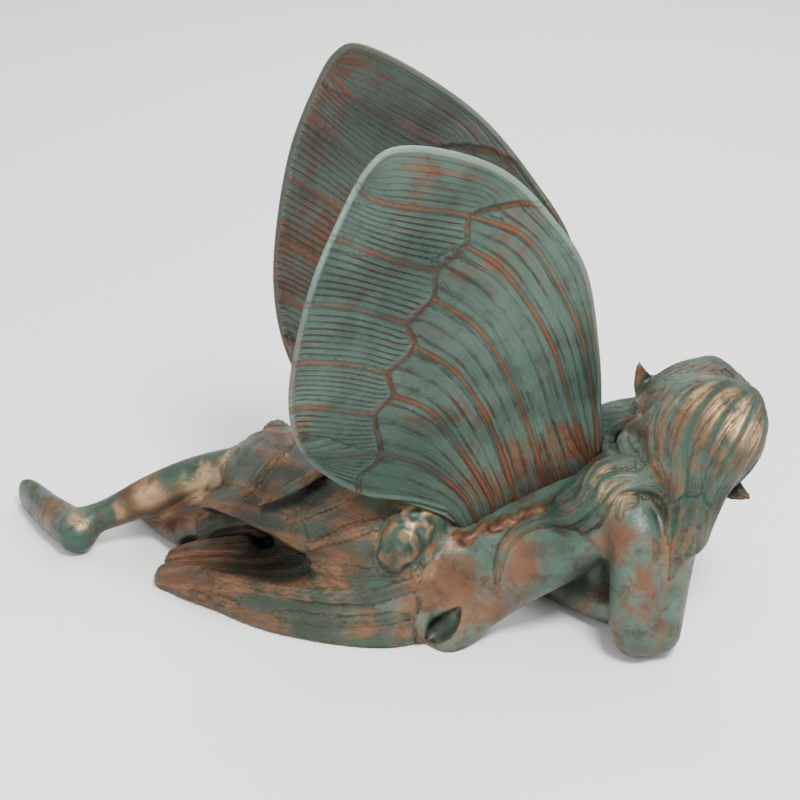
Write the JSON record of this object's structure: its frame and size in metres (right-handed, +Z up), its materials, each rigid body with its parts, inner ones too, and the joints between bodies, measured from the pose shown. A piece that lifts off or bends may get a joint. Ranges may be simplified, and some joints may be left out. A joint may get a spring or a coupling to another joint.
{
  "type": "garden statue",
  "caption": "Patinated garden statue of a reclining winged fairy, hair flowing back, two tall veined wings rising from the back.",
  "frame": {"origin": "on the flat underside of the cast figure, below the hips", "axes": "+X from the feet to the head, +Y away from the side that the figure's back is turned to, +Z up"},
  "size_m": [0.4048, 0.2397, 0.2851],
  "materials": {
    "figure_patina": "patinated bronze look, worn satin",
    "wing_patina": "verdigris patina, matte"
  },
  "bodies": {
    "root": {"fairy_figure": "figure_patina", "wing_right": "wing_patina", "wing_left": "wing_patina"}
  },
  "joints": []
}
